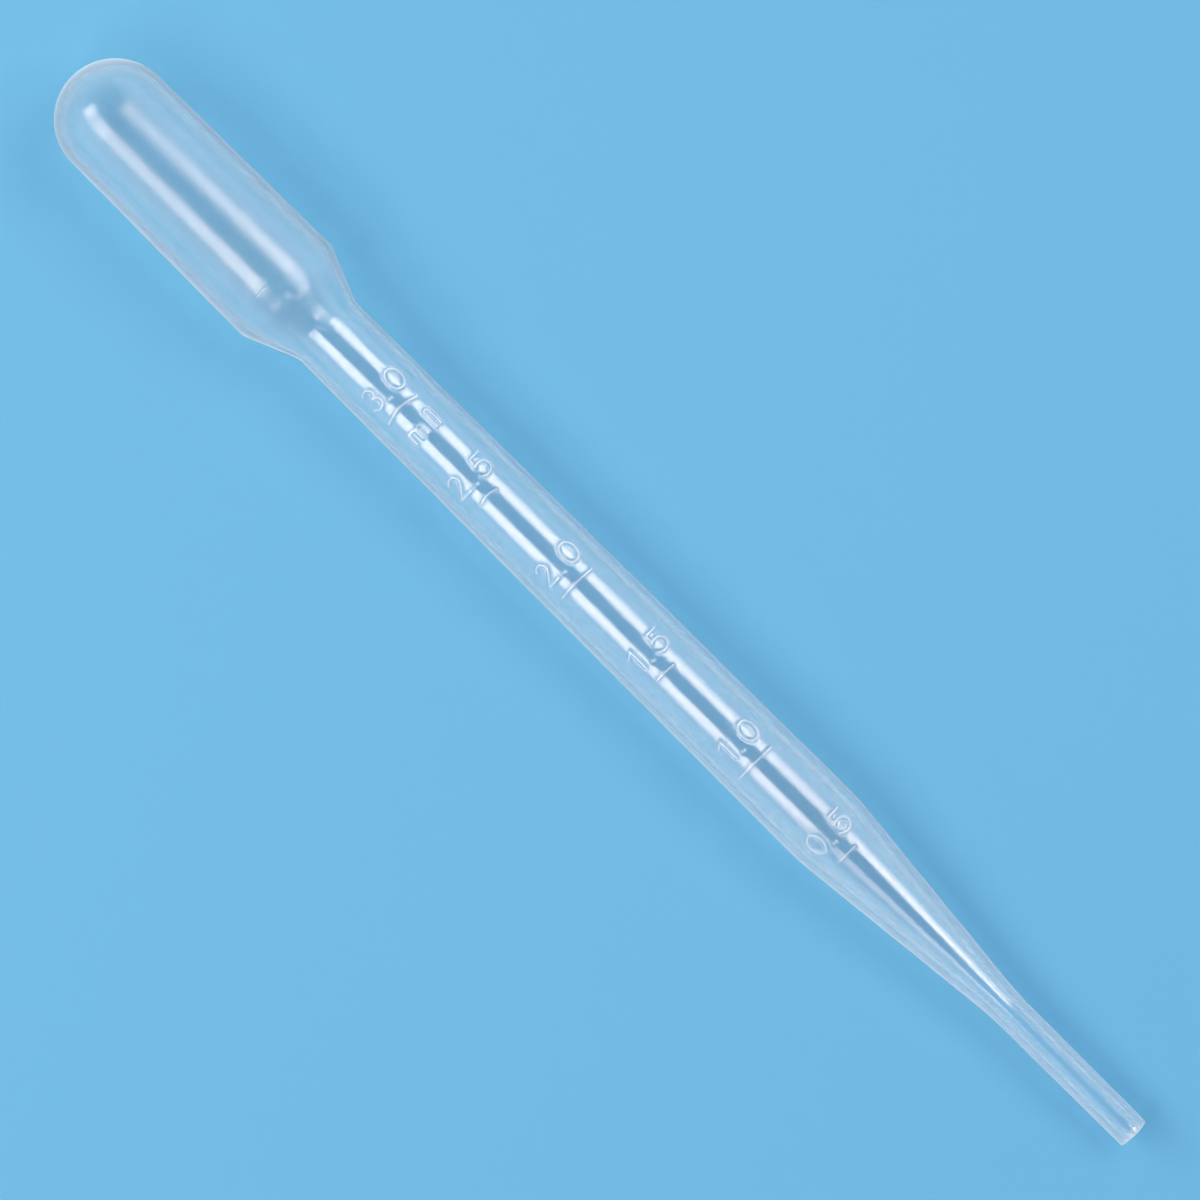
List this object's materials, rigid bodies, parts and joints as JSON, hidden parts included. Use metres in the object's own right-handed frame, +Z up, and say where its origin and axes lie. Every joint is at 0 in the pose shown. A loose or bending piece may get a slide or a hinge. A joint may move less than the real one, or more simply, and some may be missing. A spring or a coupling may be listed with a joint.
{
  "type": "dropper pipette",
  "caption": "Slim one-piece dropper pipette: a soft squeeze bulb, a graduated stem and a drawn-down open tip, for drawing up and dripping small amounts of liquid.",
  "frame": {"origin": "on the ground, under the middle of the pipette's box as it lies", "axes": "+X along the pipette towards the open tip, +Z up, so the scale faces up and its lines run across, along Y"},
  "size_m": [0.15, 0.0126, 0.0131],
  "materials": {
    "polyethylene": "smooth as moulded, translucent and slightly milky"
  },
  "bodies": {
    "root": {"pipette": "polyethylene"}
  },
  "joints": []
}
